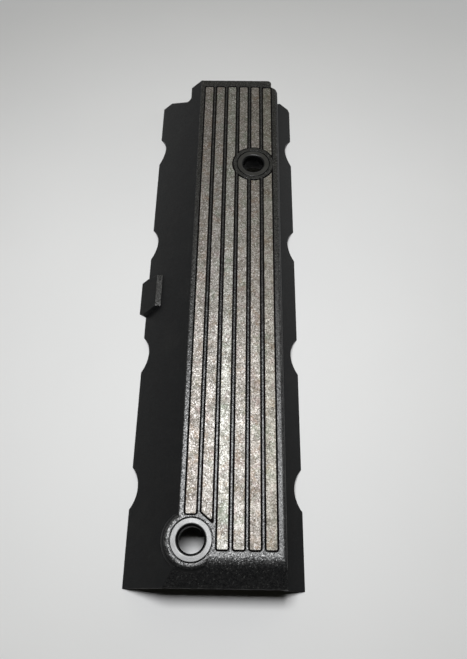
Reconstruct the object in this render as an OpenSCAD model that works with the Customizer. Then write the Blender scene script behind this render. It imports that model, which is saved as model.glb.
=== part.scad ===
// Ribbed engine cover: a moulded trough with one long flank, one short flank, a flat top
// and two bolt bosses. Bright metal strips lie in channels along the top, and a flanged
// grommet sits in each boss. Millimetres, +Z up, the long side along Y. The origin is
// below the middle of the bounding box, on the surface that the cover rests on.

/* [Housing] */
// Length of the cover
cover_l = 408; // [380:1:460]
// Height of the flat top above the resting face
rise = 34; // [32:0.5:40]
// Width of the flat top between its two long edges
top_w = 65.8; // [62:0.1:76]
// Angle of both sloped flanks from the horizontal
flank_angle = 42.9; // [40:0.1:50]
// Height of the crease where the steep wall meets the short flank
crease_h = 11; // [8:0.5:14]
// Draft of the steep wall from the vertical
wall_draft = 4; // [1.5:0.5:8]
// Thickness of the moulded wall
wall_t = 3; // [2.6:0.1:3.4]
// Rounding of the edge between the flat top and the long flank
ridge_r = 1.5; // [0.5:0.1:3]
// Rounding of the edge between the flat top and the steep wall
shoulder_r = 2.4; // [1:0.1:4]

/* [Near lip] */
// Length of the sloped lip at the near end
lip_l = 13.7; // [12:0.1:15]
// Slope of the lip from the horizontal
lip_angle = 30; // [20:1:35]
// Rounding where the flat top turns into the lip
lip_r = 16; // [8:0.5:18]

/* [Far end] */
// Width of the flank that is left at the outer side of the far left notch
notch_land = 8; // [4:0.1:9]
// Depth of the far left notch along the cover
notch_d = 16.4; // [10:0.1:20]
// Distance of the notch's straight side from the edge of the flat top
notch_side = 9.2; // [8:0.1:14]
// Rounding in the root of the notch
notch_r = 2.5; // [1:0.5:4]
// Length of the tongue in front of the rounded corner at the far right
tongue_l = 7.4; // [6:0.1:8]
// Width that the far right corner gives up beside the tongue
corner_w = 5.2; // [4.8:0.1:5.4]
// Slope from the tongue to the rounded corner, turned from the X axis
corner_turn = 32; // [29:1:40]
// Rounding of the far right corner of the flat top
corner_r = 10; // [6:0.1:10.4]
// Rounding in the root of the tongue's right side
step_r = 1; // [0.4:0.1:1.4]
// Rounding at the tip of the tongue
tongue_r = 3.2; // [0.5:0.1:4]
// Bevels at the far end of the short flank
flank_bevel = 2.8; // [1:0.1:4]

/* [Scallops] */
// Number of scallops along each flank
scallop_n = 4; // [2:1:4]
// Distance between neighbouring scallops
scallop_pitch = 98; // [80:0.5:104]
// Distance of the first scallop from the near end
scallop_first = 62.6; // [50:0.1:80]
// Width of a scallop at the flank's edge
scallop_w = 28; // [20:0.5:34]
// Depth of a scallop into the flank
scallop_d = 5.5; // [3:0.1:7]

/* [Strips] */
// Step from one strip to the next, as a share of the flat top's width
strip_step_share = 0.1505; // [0.143:0.0005:0.158]
// Width of a strip, as a share of that step
strip_width_share = 0.6465; // [0.5:0.0005:0.7]
// Thickness of a strip
strip_t = 1.1; // [0.8:0.1:1.4]
// Place of the first strip from the left edge, as a share of the flat top's width
strip_start_share = 0.0608; // [0.046:0.0001:0.09]
// Distance of the long strips from the near end
strip_near = 21.4; // [19:0.1:26]
// Distance of the strips from the far end
strip_far = 7.6; // [6:0.1:12]
// Length that the last strip gives up at the far end, where the corner is rounded
strip_last = 0.9; // [0.7:0.1:3]
// Rounding of the strips' corners
strip_r = 0.9; // [0.3:0.1:1.5]
// Open groove all round a strip
groove_w = 1.15; // [0.3:0.05:1.2]
// Depth of the strips' channels
groove_d = 1.3; // [1:0.1:1.6]

/* [Bosses] */
// Near boss, distance of its axis from the left edge of the flat top
near_boss_x = 8.05; // [7:0.05:10]
// Near boss, distance of its axis from the near end
near_boss_y = 26.65; // [26:0.05:30]
// Outer radius of the near boss where it stands over the long flank
near_boss_r = 18.7; // [18.2:0.1:21]
// Rounding of the near boss's shoulder
near_boss_round = 4.4; // [2:0.1:4.6]
// Flat end of the first strip, distance from the near boss's axis
near_cut_1 = 15.3; // [15:0.1:18]
// Slanted end of the second strip, distance from the near boss's axis
near_cut_2 = 16.4; // [15:0.1:18]
// Turn of that slanted end from the X axis
near_cut_turn = 40; // [30:1:50]
// Far boss, place of its axis from the left edge, as a share of the flat top's width
far_boss_share = 0.687; // [0.665:0.001:0.71]
// Far boss, distance of its axis from the far end
far_boss_y = 92.2; // [80:0.1:110]
// Radius that the strips keep from the far boss's axis
far_cut_r = 17.2; // [16.5:0.1:18]
// Wall of the cup that holds a grommet
cup_t = 2.4; // [1.8:0.1:2.8]
// Depth of the cup's skirt below the flat top
skirt_d = 20; // [17:0.5:22]
// Room between the cup's skirt and the grommet's bead
skirt_gap = 1.2; // [0.5:0.1:1.6]

/* [Grommets] */
// Radius of the grommet's flange
flange_r = 12.9; // [12:0.1:13.3]
// Thickness of the flange
flange_t = 2.2; // [1.6:0.1:3]
// Thickness of the cup's floor that the grommet grips
floor_t = 2.2; // [1.6:0.1:3]
// Radius of the grommet's neck
neck_r = 10.4; // [9.8:0.1:11]
// Radius of the grommet's lower bead
bead_r = 11.6; // [11.2:0.1:12.2]
// Radius of the bolt hole through the grommet
bolt_r = 7.9; // [6:0.1:8.4]
// Rounding of the hole's mouth
mouth_round = 2; // [0.5:0.1:2.4]
// Rounding of the flange's outer edge
rim_round = 0.5; // [0.2:0.1:0.8]
// Length of the grommet below the cup's floor
tail_l = 1.9; // [1.6:0.1:4]
// Running gap round the flange, which shows as a thin dark ring
flange_gap = 0.5; // [0.2:0.05:0.6]
// Gap round the neck and below the floor
grip_gap = 0.1; // [0.05:0.05:0.2]

/* [Hook block] */
// Distance of the hook block's outer edge from the long flank's edge
hook_out = 5; // [3:0.1:7]
// Height of the block's flat top
hook_h = 11.4; // [10:0.1:13]
// Width of the flat top
hook_top_w = 4.4; // [3.6:0.1:7]
// Distance of the block's near side from the near end
hook_y = 192; // [190:0.5:195]
// Length of the block along the cover
hook_l = 31.5; // [28:0.5:36]
// Bevel of the block's outer corner at the near side
hook_bevel = 2.8; // [1:0.1:5]
// Bevel of the block's outer corner at the far side
hook_far_bevel = 1.4; // [0.5:0.1:5]
// Length that the block's flat top loses at its near side, as slope
hook_slope = 4.8; // [0:0.1:6]

/* [Underside] */
// Number of cross ribs below the flat top
rib_n = 6; // [4:1:6]
// Thickness of a cross rib
rib_t = 2; // [1.5:0.1:3]
// Depth of a cross rib below the flat top's inner face
rib_d = 8; // [4:0.5:10]
// Distance of the first and the last rib from the cover's ends
rib_end = 58; // [54:1:60]

/* [Hidden] */
$fn = 64;
// Overlap that lets one cut run cleanly past a face
over = 1;
// Facets of a rounded edge in a profile
arc_n = 8;

// Places across the cover, from the long flank's edge to the short flank's edge
flank_run = rise / tan(flank_angle);
wall_run = (rise - crease_h) * tan(wall_draft);
short_run = crease_h / tan(flank_angle);
total_w = hook_out + flank_run + top_w + wall_run + short_run;
left_x = -total_w / 2 + hook_out;
top_left_x = left_x + flank_run;
top_right_x = top_left_x + top_w;
crease_x = top_right_x + wall_run;
right_x = crease_x + short_run;
near_y = -cover_l / 2;
far_y = cover_l / 2;

// Height of the flat top's inner face
inner_rise = rise - wall_t;

// Boss axes and the cup round a grommet
near_boss = [top_left_x + near_boss_x, near_y + near_boss_y];
far_boss = [top_left_x + far_boss_share * top_w, far_y - far_boss_y];
seat_r = flange_r + flange_gap;
cup_r = seat_r + cup_t;
seat_z = rise - flange_t;
floor_z = seat_z - floor_t;
neck_hole_r = neck_r + grip_gap;
skirt_z = rise - skirt_d;
skirt_r = bead_r + skirt_gap;

// Strips side by side, and their channels
strip_n = 6;
strip_step = strip_step_share * top_w;
strip_w = strip_width_share * strip_step;
strip_z = rise - groove_d;
strip_near_y = near_y + strip_near;
strip_far_y = far_y - strip_far;
function strip_x(i) = top_left_x + strip_start_share * top_w + i * strip_step;

// Points of a rounded corner: b with its neighbours a and c, and the radius r
function unit(v) = v / norm(v);
function corner(a, b, c, r) =
    r == 0 ? [b] :
    let (u = unit(a - b),
         v = unit(c - b),
         half = acos(u * v) / 2,
         centre = b + unit(u + v) * r / sin(half),
         start = b + u * r / tan(half) - centre,
         end = b + v * r / tan(half) - centre,
         from = atan2(start[1], start[0]),
         turn = atan2(end[1], end[0]) - from,
         sweep = turn > 180 ? turn - 360 : turn < -180 ? turn + 360 : turn)
    [for (k = [0 : arc_n]) centre + r * [cos(from + sweep * k / arc_n), sin(from + sweep * k / arc_n)]];

// An outline from [x, y, radius] corners
function outline(c) =
    let (n = len(c),
         p = [for (q = c) [q[0], q[1]]])
    [for (i = [0 : n - 1]) each corner(p[(i + n - 1) % n], p[i], p[(i + 1) % n], c[i][2])];

// Extrusions of a profile along the cover and across it
module along(y0, y1) {
    translate([0, y1, 0])
        rotate([90, 0, 0])
            linear_extrude(y1 - y0)
                children();
}
module across(x0, x1) {
    translate([x0, 0, 0])
        rotate([90, 0, 90])
            linear_extrude(x1 - x0)
                children();
}

// Cross section of the shell's outer face, and of a face that lies t inside it
module outer_section() {
    polygon(outline([
        [left_x, 0, 0],
        [top_left_x, rise, ridge_r],
        [top_right_x, rise, shoulder_r],
        [crease_x, crease_h, 0],
        [right_x, 0, 0]]));
}
module inner_section(t) {
    foot_w = t / sin(flank_angle);
    top_z = rise - t;
    fold_z = crease_h - (foot_w - t) / (1 / tan(flank_angle) - tan(wall_draft));
    fold_x = right_x - foot_w - fold_z / tan(flank_angle);
    polygon([
        [left_x + foot_w - over / tan(flank_angle), -over],
        [left_x + foot_w + top_z / tan(flank_angle), top_z],
        [fold_x - (top_z - fold_z) * tan(wall_draft), top_z],
        [fold_x, fold_z],
        [right_x - foot_w + over / tan(flank_angle), -over]]);
}

// Side profile with the sloped lip; drop lowers the top for the inner face
module side_profile(drop, spare) {
    lip_y = near_y + lip_l + drop * tan(lip_angle / 2);
    run = lip_y - (near_y - spare);
    polygon(outline([
        [near_y - spare, -over, 0],
        [near_y - spare, rise - drop - run * tan(lip_angle), 0],
        [lip_y, rise - drop, lip_r - drop],
        [far_y + spare, rise - drop, 0],
        [far_y + spare, -over, 0]]));
}

// Outline in plan, with the notch, the tongue and the bevel at the far end
module plan() {
    step_y = far_y - tongue_l;
    step_x = top_right_x - corner_w;
    wall_x = (top_right_x + crease_x) / 2;
    corner_y = step_y - (wall_x - step_x) * tan(corner_turn);
    slot_y = corner_y - corner_r;
    polygon(outline([
        [left_x - hook_out, near_y, 0],
        [left_x - hook_out, far_y, 0],
        [left_x + notch_land, far_y, 0],
        [top_left_x - notch_side, far_y - notch_d, notch_r],
        [top_left_x - notch_side, far_y, 0],
        [step_x, far_y, tongue_r],
        [step_x, step_y, step_r],
        [wall_x, corner_y, corner_r],
        [wall_x, slot_y, 0],
        [crease_x, slot_y, 0],
        [crease_x, far_y - flank_bevel, 0],
        [crease_x + flank_bevel, far_y, 0],
        [right_x - flank_bevel / 2, far_y, 0],
        [right_x, far_y - flank_bevel, 0],
        [right_x, near_y, 0]]));
}

// Scallops: round clearance cuts along the edges of both flanks
module scallops() {
    round_r = (pow(scallop_w / 2, 2) + pow(scallop_d, 2)) / (2 * scallop_d);
    for (i = [0 : scallop_n - 1], side = [-1, 1])
        translate([
            (side < 0 ? left_x : right_x) + side * (round_r - scallop_d),
            near_y + scallop_first + i * scallop_pitch,
            -over])
            cylinder(r = round_r, h = rise / 2 + over, $fn = 128);
}

// The shell's outer form and the hollow below it
module outer_form() {
    intersection() {
        along(near_y, far_y)
            outer_section();
        across(left_x, right_x)
            side_profile(0, 0);
        translate([0, 0, -over])
            linear_extrude(rise + 2 * over)
                plan();
    }
}
module inner_form() {
    intersection() {
        along(near_y - over, far_y + over)
            inner_section(wall_t);
        across(left_x, right_x)
            side_profile(wall_t, over);
    }
}

// The near boss: the hollow below the shell's inner face takes away all but its upper part
module near_boss_form() {
    translate([near_boss[0], near_boss[1], 0])
        rotate_extrude($fn = 96)
            polygon(outline([
                [0, 0, 0],
                [0, rise, 0],
                [near_boss_r, rise, near_boss_round],
                [near_boss_r, 0, 0]]));
}

// Hook block on the long flank: a section along the flank, bevelled in plan
module hook_block() {
    y0 = near_y + hook_y;
    y1 = y0 + hook_l;
    x0 = left_x - hook_out;
    x1 = left_x + hook_h / tan(flank_angle);
    intersection() {
        along(y0, y1)
            polygon([
                [x0, 0],
                [x1 - hook_top_w, hook_h],
                [x1 + over, hook_h],
                [left_x + wall_t, 0]]);
        translate([0, 0, -over])
            linear_extrude(hook_h + 2 * over)
                polygon([
                    [x1 + over, y0],
                    [left_x, y0],
                    [x0, y0 + hook_bevel],
                    [x0, y1 - hook_far_bevel],
                    [left_x, y1],
                    [x1 + over, y1]]);
        across(x0, x1 + over)
            polygon([
                [y0, 0],
                [y0 + hook_slope, hook_h],
                [y1, hook_h],
                [y1, 0]]);
    }
}

// Cup that holds a grommet, with its floor and its skirt
module cup(at, z0) {
    translate([at[0], at[1], 0]) {
        translate([0, 0, floor_z])
            cylinder(r = cup_r, h = rise - floor_z - wall_t / 2);
        translate([0, 0, z0])
            cylinder(r = cup_r, h = floor_z - z0 + over);
    }
}
module cup_bores(at, z0) {
    translate([at[0], at[1], 0]) {
        translate([0, 0, seat_z])
            cylinder(r = seat_r, h = flange_t + over);
        translate([0, 0, floor_z - over])
            cylinder(r = neck_hole_r, h = floor_t + 2 * over);
        translate([0, 0, z0 - over])
            cylinder(r = skirt_r, h = floor_z - z0 + over);
    }
}

// Cross ribs below the flat top, rooted halfway into the shell
module ribs() {
    step = (cover_l - 2 * rib_end) / (rib_n - 1);
    intersection() {
        along(near_y, far_y)
            inner_section(wall_t / 2);
        for (i = [0 : rib_n - 1])
            translate([left_x, near_y + rib_end + i * step - rib_t / 2, inner_rise - rib_d])
                cube([total_w, rib_t, rise - inner_rise + rib_d]);
    }
}

// Channels of the strips, cut into the flat top
module channels() {
    for (i = [0 : strip_n - 1])
        translate([0, 0, strip_z])
            linear_extrude(groove_d + over)
                lane(i, groove_w);
}

// Rounded bar in plan
module bar(x0, x1, y0, y1, r) {
    translate([x0 + r, y0])
        square([x1 - x0 - 2 * r, y1 - y0]);
    translate([x0, y0 + r])
        square([x1 - x0, y1 - y0 - 2 * r]);
    for (x = [x0 + r, x1 - r], y = [y0 + r, y1 - r])
        translate([x, y])
            circle(r = r, $fn = 24);
}

// Full run of strip i in plan, grown by g: the bosses cut the lanes that meet them
module lane(i, g) {
    x0 = strip_x(i) - g;
    x1 = strip_x(i) + strip_w + g;
    y1 = strip_far_y - (i == strip_n - 1 ? strip_last : 0) + g;
    first_y = near_boss[1] + near_cut_1 - g;
    if (i == 0)
        bar(x0, x1, first_y, y1, strip_r + g);
    else if (i == 1)
        slanted_lane(x0, x1, y1, g);
    else
        difference() {
            bar(x0, x1, strip_near_y - g, y1, strip_r + g);
            translate(far_boss)
                circle(r = far_cut_r - g, $fn = 128);
        }
}
module slanted_lane(x0, x1, y1, g) {
    reach = near_cut_2 - g;
    lean = tan(near_cut_turn);
    mid_y = near_boss[1] + reach / cos(near_cut_turn);
    ya = mid_y - (x0 - near_boss[0]) * lean;
    yb = mid_y - (x1 - near_boss[0]) * lean;
    polygon(outline([
        [x0, ya, strip_r],
        [x0, y1, strip_r + g],
        [x1, y1, strip_r + g],
        [x1, yb, strip_r]]));
}

// Sub-part: the moulded cover with its bosses, channels, hook block and ribs
module cover_body() {
    color([0.09, 0.09, 0.095])
        difference() {
            union() {
                difference() {
                    union() {
                        outer_form();
                        near_boss_form();
                    }
                    inner_form();
                }
                hook_block();
                ribs();
                cup(near_boss, skirt_z);
                cup(far_boss, skirt_z);
            }
            cup_bores(near_boss, skirt_z);
            cup_bores(far_boss, skirt_z);
            channels();
            scallops();
        }
}

// Sub-part: metal strip i, the half on one side of the far boss or the whole lane
module strip(i, half) {
    color([0.62, 0.6, 0.55])
        translate([0, 0, strip_z])
            linear_extrude(strip_t)
                intersection() {
                    lane(i, 0);
                    if (half == "near")
                        translate([left_x, near_y])
                            square([total_w, far_boss[1] - near_y]);
                    else if (half == "far")
                        translate([left_x, far_boss[1]])
                            square([total_w, far_y - far_boss[1]]);
                    else
                        translate([left_x, near_y])
                            square([total_w, cover_l]);
                }
}

// Sub-part: flanged grommet with a rounded mouth, a neck and a lower bead
module grommet(at) {
    bead_z = floor_z - grip_gap;
    tail_z = floor_z - tail_l;
    color([0.13, 0.13, 0.13])
        translate([at[0], at[1], 0])
            rotate_extrude($fn = 72)
                polygon(outline([
                    [bolt_r, tail_z, 0],
                    [bolt_r, rise, mouth_round],
                    [flange_r, rise, rim_round],
                    [flange_r, seat_z, 0],
                    [neck_r, seat_z, 0],
                    [neck_r, bead_z, 0],
                    [bead_r, (bead_z + tail_z) / 2, 0],
                    [neck_r, tail_z, 0]]));
}

cover_body();
strip(0, "whole");  // strip_1
strip(1, "whole");  // strip_2
strip(2, "whole");  // strip_3
strip(3, "near");  // strip_4_near
strip(3, "far");  // strip_4_far
strip(4, "near");  // strip_5_near
strip(4, "far");  // strip_5_far
strip(5, "near");  // strip_6_near
strip(5, "far");  // strip_6_far
grommet(near_boss);  // grommet_near
grommet(far_boss);  // grommet_far
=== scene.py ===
import math

import bpy
from mathutils import Matrix, Vector


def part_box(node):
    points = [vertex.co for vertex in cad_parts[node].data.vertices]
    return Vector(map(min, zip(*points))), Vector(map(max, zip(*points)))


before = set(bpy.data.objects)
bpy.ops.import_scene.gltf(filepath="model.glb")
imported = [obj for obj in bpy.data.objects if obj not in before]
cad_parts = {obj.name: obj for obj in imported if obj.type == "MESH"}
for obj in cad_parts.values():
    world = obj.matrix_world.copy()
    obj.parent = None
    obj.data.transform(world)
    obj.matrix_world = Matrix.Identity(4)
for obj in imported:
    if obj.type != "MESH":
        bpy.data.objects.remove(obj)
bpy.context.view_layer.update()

MM = 0.001

# Camera: fitted to the cover's outline in the 467 x 659 picture, as a plain pinhole
CAMERA_PLACE = Vector((16.0, -217.0, 410.5)) * MM
CAMERA_RIGHT = Vector((0.99988, 0.01552, -0.00144))
CAMERA_UP = Vector((-0.01339, 0.90235, 0.43080))
CAMERA_LENS = 32.51
CAMERA_SENSOR = 36.0
CAMERA_CLIP_START = 0.01

# Soft box: a lamp above the cover, a little towards its near end
SOFT_BOX_AT = (-0.018, -0.036, 0.66)
SOFT_BOX_SIDES = (0.26, 0.20)
SOFT_BOX_POWER = 3.95
SOFT_BOX_COLOUR = (0.985, 0.993, 1.0)

# Side panel: low and weak, on the right; it gives the right flank and wall their sheen
PANEL_AT = (0.60, 0.26, 0.16)
PANEL_SIDES = (0.22, 0.50)
PANEL_POWER = 0.50
PANEL_COLOUR = (1.0, 1.0, 1.0)
PANEL_TURN = (0, math.pi / 2, math.radians(24))

# World: dim and warm. Its strength grows with the ray's Y, towards the far end, and it fades
# where the ray's Z is low
GLOW_COLOUR = (1.0, 0.965, 0.78)
GLOW_AHEAD = (0.10, 0.85)
GLOW_STRENGTH = (0.010, 0.365)
GLOW_UP = (0.05, 0.5)
GLOW_SHARE = (0.15, 1.0)

# Backdrop: one pale tone for the far floor and the low part of the world, as rays from the
# camera and by way of gloss see them
BACKDROP = 0.46
BACKDROP_TINT = (0.98, 0.99, 1.0)
# Distance from the origin over which the floor turns into the backdrop, in millimetres
BACKDROP_BLEND = (330.0, 560.0)
# The ray's Z over which the backdrop ends in reflections: behind the camera and elsewhere,
# and the ray's Y between the two
BACKDROP_TOP_BEHIND = (0.22, 0.08)
BACKDROP_TOP = (0.56, 0.36)
BACKDROP_BEHIND = (-0.6, -0.2)

# Floor, a tenth of a millimetre below the plane that the cover rests on
FLOOR_SIZE = 8.0
FLOOR_Z = -0.1 * MM
FLOOR_DARK = (0.770, 0.772, 0.775)
FLOOR_PALE = (0.830, 0.830, 0.828)
FLOOR_CLOUDS = (160.0, 4.0, 0.55)
FLOOR_GRAIN, FLOOR_GRAIN_DEPTH = (2.2, 3.0, 0.6), 0.03
FLOOR_ROUGHNESS = 0.62
FLOOR_GLOSS = 0.3

# In the materials below, sizes, depths and heights are in millimetres. A pair is the value on
# the flanks or walls and the value on the top, or a span from none to all of an effect. Three
# or four numbers of a texture are the size, detail, roughness and distortion of its noise

# Moulded plastic. TOP_FROM and the grooves' flatness are spans of the normal's Z. On the grooves'
# floors the plastic is darker, rough and dull: painted shade in the grooves
TOP_FROM = (0.76, 0.84)
PEBBLE, FACET = 0.90, 0.58
PEBBLE_WEIGHT, FINE_WEIGHT = -0.75, 0.7
FINE_GRAIN = (0.60, 2.0, 0.6)
WAVES = (9.0, 2.0, 0.5)
GRAIN_DEPTH, WAVE_DEPTH = 0.10, 0.05
GRAIN_AMOUNT = (0.25, 1.0)
FACET_TILT = (0.06, 0.19)
PLASTIC_EDGE = 0.45
PLASTIC_ROUGHNESS = (0.36, 0.37)
FINE_SPAN = (0.3, 0.7)
FINE_ROUGHNESS = (-0.05, 0.05)
PLASTIC_IOR = 1.8
FLANK_GLOSS = 0.06
GRAIN_GLOSS = (0.13, 0.66)
GLINT_GLOSS = 0.85
GLINT_FROM = (0.94, 0.99)
GROOVE_ABOVE = (32.5, 32.65)
GROOVE_BELOW = (33.2, 32.95)
GROOVE_FLAT = (0.955, 0.97)
GROOVE_SHADE_ROUGHNESS = 1.0
GROOVE_SHADE_GLOSS = 0.04
DUST, DUST_SPAN, DUST_AMOUNT = (26.0, 5.0, 0.62), (0.5, 0.72), 0.5
SCUFFS, SCUFF_SPAN, SCUFF_AMOUNT = (3.2, 4.0, 0.65), (0.62, 0.74), 0.35
SCUFF_STRETCH = (1.0, 0.16, 1.0)
SCUFF_ROUGHNESS = 0.06
PLASTIC = (0.0052, 0.0054, 0.0058)
PLASTIC_DUSTY = (0.0115, 0.0115, 0.0110)
PLASTIC_SCUFFED = (0.020, 0.020, 0.019)
# Painted glints: a paler tone in a few grain cells, which also stands for light dust specks
PLASTIC_PAINTED_GLINT = (0.045, 0.045, 0.043)
# Painted shade: the darker colour of the grooves' floors
PLASTIC_GROOVE_SHADE = (0.0050, 0.0042, 0.0040)

# Metal of the strips: clouds, a middle and a small mottling, with their weights and the shift
# of the small one, and tones by the value of their sum, from dark to pale
METAL_CLOUDS, CLOUDS_WEIGHT = (11.0, 4.0, 0.6, 0.5), 0.34
METAL_MIDDLE, MIDDLE_WEIGHT = (2.6, 3.0, 0.6, 0.4), 0.26
METAL_SMALL, SMALL_WEIGHT = (0.80, 2.0, 0.6, 0.0), 0.40
SMALL_SHIFT = (31.0, 7.0, 0.0)
METAL_TONES = [(0.36, (0.172, 0.158, 0.133)), (0.45, (0.265, 0.250, 0.220)),
               (0.51, (0.350, 0.335, 0.303)), (0.58, (0.496, 0.480, 0.446)),
               (0.66, (0.645, 0.635, 0.610))]
# What lies over the tones, each over those before it: the texture, its shift, the span of it
# that shows, how strongly, and the colour
METAL_BLOTCHES = {
    "warm": ((9.0, 4.0, 0.65, 0.6), (3.0, 90.0, 0.0), (0.52, 0.66), 0.66, (0.315, 0.245, 0.185)),
    "cool": ((12.0, 4.0, 0.6, 0.5), (60.0, 12.0, 0.0), (0.53, 0.66), 0.52, (0.270, 0.310, 0.245)),
    "rosy": ((7.0, 3.0, 0.6, 0.5), (22.0, 51.0, 0.0), (0.54, 0.68), 0.55, (0.375, 0.312, 0.300)),
    "specks": ((0.75, 1.0, 0.5, 0.0), (9.0, 44.0, 5.0), (0.60, 0.68), 0.75, (0.070, 0.060, 0.050)),
}
FLAKE = 0.65
FLAKE_FROM = (0.78, 0.90)
FLAKE_AMOUNT = 0.66
FLAKE_COLOUR = (0.880, 0.870, 0.845)
FLAKE_TILT = 0.20
FLAKE_ROUGHNESS = (-0.06, 0.06)
METAL_DENT_DEPTH = 0.04
METAL_EDGE = 0.25
METAL_METALLIC = 0.9
METAL_TONE_SPAN = (0.40, 0.60)
METAL_ROUGHNESS = (0.63, 0.50)
# Each lane has its own tone and cast, partly the strips' own and partly painted shade: the third
# lane is lightest, and the lanes darken to both sides, most to the right, as the highlight falls
# off there
LANE_TINTS_AND_SHADE = [(0.715, 0.693, 0.698), (0.740, 0.730, 0.738), (0.792, 0.805, 0.803),
              (0.750, 0.735, 0.738), (0.700, 0.675, 0.670), (0.645, 0.636, 0.612)]
LANES = len(LANE_TINTS_AND_SHADE)
# The first lane begins this far to the left of the first strip
LANE_MARGIN = 1.7

# Rubber of the grommets: the wall of the hole is dull and painted dark, as painted shade inside the
# hole; the flange is satin
FLANGE_FROM = (0.86, 0.985)
RUBBER = ((0.0110, 0.0112, 0.0118), (0.0190, 0.0188, 0.0182))
RUBBER_WALL_SHADE = (0.0030, 0.0030, 0.0032)
RUBBER_GLOSS = (0.06, 0.47)
RUBBER_CLOUDS = (6.0, 3.0, 0.55)
RUBBER_COLOUR_SPAN = (0.4, 0.7)
RUBBER_ROUGH_SPAN = (0.35, 0.65)
RUBBER_ROUGHNESS = (0.32, 0.38)
RUBBER_GRAIN, RUBBER_GRAIN_DEPTH = (0.5, 2.0, 0.5), 0.02
RUBBER_GRAIN_ROUGHNESS = (-0.03, 0.03)
RUBBER_EDGE = 0.35
RUBBER_IOR = 1.8

STRIPS = ["strip_1", "strip_2", "strip_3", "strip_4_near", "strip_4_far",
          "strip_5_near", "strip_5_far", "strip_6_near", "strip_6_far"]
GROMMETS = ["grommet_near", "grommet_far"]


class Net:
    """A material's or the world's nodes, made by short calls that return sockets."""

    def __init__(self, owner):
        owner.use_nodes = True
        self.owner = owner
        self.tree = owner.node_tree
        self.tree.nodes.clear()

    def put(self, socket, value):
        """Link the value to the socket if it is a socket too; otherwise set it there."""
        if isinstance(value, bpy.types.NodeSocket):
            self.tree.links.new(value, socket)
        elif isinstance(value, (tuple, list)) and socket.type == "RGBA" and len(value) == 3:
            socket.default_value = (*value, 1.0)
        else:
            socket.default_value = value

    def node(self, kind, inputs=None, **props):
        """A new node, with its properties and then its inputs, which are given by name or place."""
        made = self.tree.nodes.new(kind)
        for key, value in props.items():
            setattr(made, key, value)
        for key, value in (inputs or {}).items():
            self.put(made.inputs[key], value)
        return made

    def parts(self, vector):
        return self.node("ShaderNodeSeparateXYZ", {0: vector}).outputs

    def millimetres(self):
        """The point's place on the object."""
        coords = self.node("ShaderNodeTexCoord")
        return self.vector("SCALE", coords.outputs["Object"], scale=1 / MM)

    def upward(self):
        """The normal's Z: 1 on a level top, 0 on an upright wall."""
        return self.parts(self.node("ShaderNodeTexCoord").outputs["Normal"])["Z"]

    def vector(self, op, a, b=None, scale=None):
        n = self.node("ShaderNodeVectorMath", {0: a}, operation=op)
        if b is not None:
            self.put(n.inputs[1], b)
        if scale is not None:
            self.put(n.inputs["Scale"], scale)
        return n.outputs["Value" if op == "LENGTH" else "Vector"]

    def math(self, op, a, b=0.0):
        return self.node("ShaderNodeMath", {0: a, 1: b}, operation=op).outputs[0]

    def add(self, a, b):
        return self.math("ADD", a, b)

    def times(self, a, b):
        return self.math("MULTIPLY", a, b)

    def fit(self, value, a0, a1, b0=0.0, b1=1.0, smooth=False):
        """Maps a0..a1 to b0..b1, and no further."""
        n = self.node("ShaderNodeMapRange",
                      {"Value": value, "From Min": a0, "From Max": a1, "To Min": b0, "To Max": b1},
                      interpolation_type="SMOOTHSTEP" if smooth else "LINEAR")
        return n.outputs["Result"]

    def between(self, share, pair):
        """The pair's first value where the share is 0, its second where it is 1."""
        return self.fit(share, 0.0, 1.0, *pair)

    def noise(self, at, size, detail, rough, warp=0.0, shift=None):
        if shift is not None:
            at = self.vector("ADD", at, shift)
        n = self.node("ShaderNodeTexNoise", {"Vector": at, "Scale": 1.0 / size, "Detail": detail,
                                             "Roughness": rough, "Distortion": warp})
        return n.outputs["Fac"]

    def cells(self, at, size, out, feature="F1"):
        n = self.node("ShaderNodeTexVoronoi", {"Vector": at, "Scale": 1.0 / size}, feature=feature)
        return n.outputs[out]

    def mix(self, factor, a, b, blend="MIX", kind="RGBA"):
        n = self.node("ShaderNodeMix", data_type=kind, blend_type=blend)
        for socket, v in zip([s for s in n.inputs if s.enabled], (factor, a, b)):
            self.put(socket, v)
        return [s for s in n.outputs if s.enabled][0]

    def ramp(self, value, stops, steps="LINEAR"):
        n = self.node("ShaderNodeValToRGB")
        ramp = n.color_ramp
        ramp.interpolation = steps
        while len(ramp.elements) < len(stops):
            ramp.elements.new(1.0)
        for element, (place, colour) in zip(ramp.elements, stops):
            element.position = place
            element.color = (*colour, 1.0)
        self.put(n.inputs[0], value)
        return n.outputs["Color"]

    def bump(self, height, depth_mm, normal=None):
        n = self.node("ShaderNodeBump",
                      {"Strength": 1.0, "Distance": depth_mm * MM, "Height": height})
        if normal is not None:
            self.put(n.inputs["Normal"], normal)
        return n.outputs["Normal"]

    def facets(self, at, size, tilt, normal):
        """Small facets, each leaning its own way: tilt is the span of the lean, as a slope."""
        lean = self.vector("SUBTRACT", self.cells(at, size, "Color"), (0.5, 0.5, 0.5))
        leaning = self.vector("ADD", normal, self.vector("SCALE", lean, scale=tilt))
        return self.vector("NORMALIZE", leaning)

    def rounded(self, radius_mm):
        return self.node("ShaderNodeBevel", {"Radius": radius_mm * MM}, samples=6).outputs["Normal"]

    def principled(self, inputs):
        return self.node("ShaderNodeBsdfPrincipled", inputs).outputs[0]

    def material(self, shader):
        self.node("ShaderNodeOutputMaterial", {"Surface": shader})
        return self.owner


def backdrop_rays(net):
    """1 for the rays that see the backdrop: from the camera, or by way of gloss or glass."""
    rays = net.node("ShaderNodeLightPath").outputs
    seen = net.math("MAXIMUM", rays["Is Camera Ray"], rays["Is Glossy Ray"])
    return net.math("MAXIMUM", seen, rays["Is Transmission Ray"])


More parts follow.
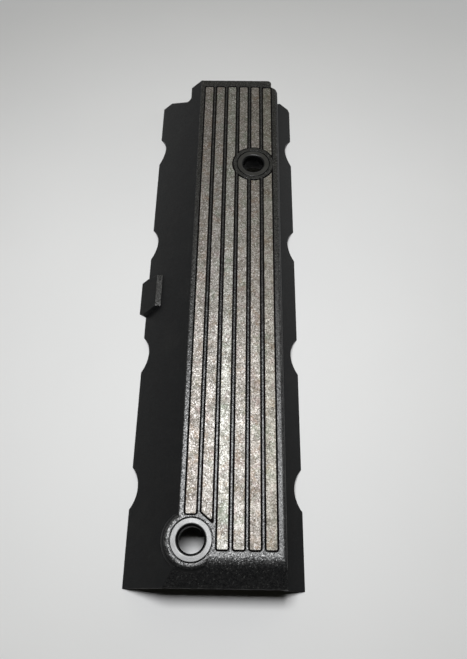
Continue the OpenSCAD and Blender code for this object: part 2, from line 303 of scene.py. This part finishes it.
def moulded_plastic():
    """Black moulded plastic: pebbled grain on the top and the bosses, smoother on the flanks, with
    painted glints in the grain and painted shade on the grooves' floors.
    """
    net = Net(bpy.data.materials.new("moulded_plastic_grained"))
    at = net.millimetres()
    upward = net.upward()
    level = net.fit(upward, *TOP_FROM, smooth=True)
    fine = net.noise(at, *FINE_GRAIN)
    grit = net.parts(net.cells(at, FACET, "Color"))
    glint = net.times(net.fit(grit["Y"], *GLINT_FROM), level)
    dust = net.fit(net.noise(at, *DUST), *DUST_SPAN)
    along = net.vector("MULTIPLY", at, SCUFF_STRETCH)
    scuffs = net.fit(net.noise(along, *SCUFFS), *SCUFF_SPAN)
    height = net.parts(at)["Z"]
    # Painted shade in the grooves: a mask of their floors, by height and flatness
    groove_shade = net.times(net.fit(height, *GROOVE_BELOW), net.fit(height, *GROOVE_ABOVE))
    groove_shade = net.times(groove_shade, net.fit(net.math("ABSOLUTE", upward), *GROOVE_FLAT))

    pebbles = net.cells(at, PEBBLE, "Distance", "SMOOTH_F1")
    grain = net.add(net.times(pebbles, PEBBLE_WEIGHT), net.times(fine, FINE_WEIGHT))
    grain = net.times(grain, net.between(level, GRAIN_AMOUNT))
    normal = net.bump(net.noise(at, *WAVES), WAVE_DEPTH, net.rounded(PLASTIC_EDGE))
    normal = net.bump(grain, GRAIN_DEPTH, normal)
    normal = net.facets(at, FACET, net.between(level, FACET_TILT), normal)

    base = net.mix(net.times(dust, DUST_AMOUNT), PLASTIC, PLASTIC_DUSTY)
    base = net.mix(net.times(scuffs, SCUFF_AMOUNT), base, PLASTIC_SCUFFED)
    # Painted glint: the glint cells get a paler base, standing also for light dust specks
    base = net.mix(glint, base, PLASTIC_PAINTED_GLINT)
    # Painted shade: the grooves' floors are darker here, and rough and dull below
    base = net.mix(groove_shade, base, PLASTIC_GROOVE_SHADE)

    rough = net.add(net.between(level, PLASTIC_ROUGHNESS),
                    net.fit(fine, *FINE_SPAN, *FINE_ROUGHNESS))
    rough = net.add(rough, net.times(scuffs, SCUFF_ROUGHNESS))
    rough = net.mix(groove_shade, rough, GROOVE_SHADE_ROUGHNESS, kind="FLOAT")

    gloss = net.mix(glint, net.between(grit["X"], GRAIN_GLOSS), GLINT_GLOSS, kind="FLOAT")
    gloss = net.mix(level, FLANK_GLOSS, gloss, kind="FLOAT")
    gloss = net.mix(groove_shade, gloss, GROOVE_SHADE_GLOSS, kind="FLOAT")
    return net.material(net.principled({"Base Color": base, "Roughness": rough, "Normal": normal,
                                        "Specular IOR Level": gloss, "IOR": PLASTIC_IOR}))


def metal_strip():
    """Bright strips: mottled, crystalline metal with dark specks, pale flakes and warm blotches."""
    net = Net(bpy.data.materials.new("metal_strip_mottled"))
    at = net.millimetres()
    clouds = net.noise(at, *METAL_CLOUDS)
    middle = net.noise(at, *METAL_MIDDLE)
    small = net.noise(at, *METAL_SMALL, shift=SMALL_SHIFT)
    tone = net.add(net.times(clouds, CLOUDS_WEIGHT), net.times(middle, MIDDLE_WEIGHT))
    tone = net.add(tone, net.times(small, SMALL_WEIGHT))
    base = net.ramp(tone, METAL_TONES)
    for texture, shift, span, amount, colour in METAL_BLOTCHES.values():
        patch = net.fit(net.noise(at, *texture, shift=shift), *span)
        base = net.mix(net.times(patch, amount), base, colour)
    flake = net.parts(net.cells(at, FLAKE, "Color"))
    shine = net.fit(flake["X"], *FLAKE_FROM)
    base = net.mix(net.times(shine, FLAKE_AMOUNT), base, FLAKE_COLOUR)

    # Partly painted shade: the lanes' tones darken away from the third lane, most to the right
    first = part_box("strip_1")[0].x / MM
    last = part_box("strip_6_near")[0].x / MM
    left = first - LANE_MARGIN
    step = (last - first) / (LANES - 1)
    across = net.fit(net.parts(at)["X"], left, left + LANES * step)
    stops = [(i / LANES, tint) for i, tint in enumerate(LANE_TINTS_AND_SHADE)]
    base = net.mix(1.0, base, net.ramp(across, stops, "CONSTANT"), "MULTIPLY")

    rough = net.add(net.fit(tone, *METAL_TONE_SPAN, *METAL_ROUGHNESS),
                    net.between(flake["Y"], FLAKE_ROUGHNESS))
    normal = net.bump(small, METAL_DENT_DEPTH, net.rounded(METAL_EDGE))
    normal = net.facets(at, FLAKE, FLAKE_TILT, normal)
    return net.material(net.principled({"Base Color": base, "Metallic": METAL_METALLIC,
                                        "Roughness": rough, "Normal": normal}))


def grommet_rubber():
    """Grommets: satin dark rubber, nearly smooth, with a faint moulding texture; the walls of the
    holes are painted darker, as painted shade.
    """
    net = Net(bpy.data.materials.new("grommet_rubber_satin"))
    at = net.millimetres()
    fine = net.noise(at, *RUBBER_GRAIN)
    cloud = net.noise(at, *RUBBER_CLOUDS)
    level = net.fit(net.upward(), *FLANGE_FROM, smooth=True)
    base = net.mix(net.fit(cloud, *RUBBER_COLOUR_SPAN), *RUBBER)
    # Painted shade: the walls of the holes are darker than the flange
    base = net.mix(level, RUBBER_WALL_SHADE, base)
    rough = net.add(net.fit(cloud, *RUBBER_ROUGH_SPAN, *RUBBER_ROUGHNESS),
                    net.fit(fine, *FINE_SPAN, *RUBBER_GRAIN_ROUGHNESS))
    normal = net.bump(fine, RUBBER_GRAIN_DEPTH, net.rounded(RUBBER_EDGE))
    return net.material(net.principled({"Base Color": base, "Roughness": rough, "Normal": normal,
                                        "Specular IOR Level": net.between(level, RUBBER_GLOSS),
                                        "IOR": RUBBER_IOR}))


def table_top():
    """The floor: plain, pale and matt, faintly clouded; far out it turns into the backdrop."""
    net = Net(bpy.data.materials.new("table_pale"))
    at = net.millimetres()
    base = net.mix(net.noise(at, *FLOOR_CLOUDS), FLOOR_DARK, FLOOR_PALE)
    normal = net.bump(net.noise(at, *FLOOR_GRAIN), FLOOR_GRAIN_DEPTH)
    table = net.principled({"Base Color": base, "Roughness": FLOOR_ROUGHNESS, "Normal": normal,
                            "Specular IOR Level": FLOOR_GLOSS})
    pale = net.node("ShaderNodeEmission", {"Color": BACKDROP_TINT, "Strength": BACKDROP})
    far = net.fit(net.vector("LENGTH", at), *BACKDROP_BLEND, smooth=True)
    share = net.times(far, backdrop_rays(net))
    blend = net.node("ShaderNodeMixShader", {0: share, 1: table, 2: pale.outputs[0]})
    return net.material(blend.outputs[0])


def studio():
    """World: it lights from above the far end; gloss and the camera see the backdrop low down."""
    world = bpy.data.worlds.new("studio")
    net = Net(world)
    ray = net.parts(net.node("ShaderNodeTexCoord").outputs["Generated"])
    ahead, up = ray["Y"], ray["Z"]
    glow = net.times(net.fit(ahead, *GLOW_AHEAD, *GLOW_STRENGTH),
                     net.fit(up, *GLOW_UP, *GLOW_SHARE))
    low = net.mix(net.fit(ahead, *BACKDROP_BEHIND), net.fit(up, *BACKDROP_TOP_BEHIND),
                  net.fit(up, *BACKDROP_TOP), kind="FLOAT")
    low = net.math("MAXIMUM", low, net.node("ShaderNodeLightPath").outputs["Is Camera Ray"])
    pale = net.times(low, backdrop_rays(net))
    background = net.node("ShaderNodeBackground", {
        "Color": net.mix(pale, GLOW_COLOUR, BACKDROP_TINT),
        "Strength": net.mix(pale, glow, BACKDROP, kind="FLOAT")})
    net.node("ShaderNodeOutputWorld", {"Surface": background.outputs[0]})
    return world


def dress(names, material):
    for name in names:
        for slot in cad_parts[name].material_slots:
            slot.material = material


def add_object(name, data, at=(0, 0, 0), turn=(0, 0, 0)):
    made = bpy.data.objects.new(name, data)
    made.location = at
    made.rotation_euler = turn
    bpy.context.scene.collection.objects.link(made)
    return made


def add_lamp(name, sides, power, colour, at, turn=(0, 0, 0)):
    data = bpy.data.lights.new(name, "AREA")
    data.shape = "RECTANGLE"
    data.size, data.size_y = sides
    data.energy = power
    data.color = colour
    add_object(name, data, at, turn)


def add_floor():
    half = FLOOR_SIZE / 2
    corners = [(x * half, y * half, FLOOR_Z) for x, y in ((-1, -1), (1, -1), (1, 1), (-1, 1))]
    mesh = bpy.data.meshes.new("floor")
    mesh.from_pydata(corners, [], [(0, 1, 2, 3)])
    mesh.materials.append(table_top())
    return add_object("floor", mesh)


def add_camera():
    data = bpy.data.cameras.new("camera")
    data.lens = CAMERA_LENS
    data.sensor_width = CAMERA_SENSOR
    data.clip_start = CAMERA_CLIP_START
    back = CAMERA_RIGHT.cross(CAMERA_UP)
    turn = Matrix((CAMERA_RIGHT, CAMERA_UP, back)).transposed()
    camera = add_object("camera", data)
    camera.matrix_world = Matrix.Translation(CAMERA_PLACE) @ turn.to_4x4()
    return camera


dress(["cover_body"], moulded_plastic())
dress(STRIPS, metal_strip())
dress(GROMMETS, grommet_rubber())

floor = add_floor()
add_lamp("soft_box", SOFT_BOX_SIDES, SOFT_BOX_POWER, SOFT_BOX_COLOUR, SOFT_BOX_AT)
add_lamp("side_panel", PANEL_SIDES, PANEL_POWER, PANEL_COLOUR, PANEL_AT, PANEL_TURN)
bpy.context.scene.world = studio()
bpy.context.scene.camera = add_camera()
bpy.context.scene.view_settings.view_transform = "Standard"
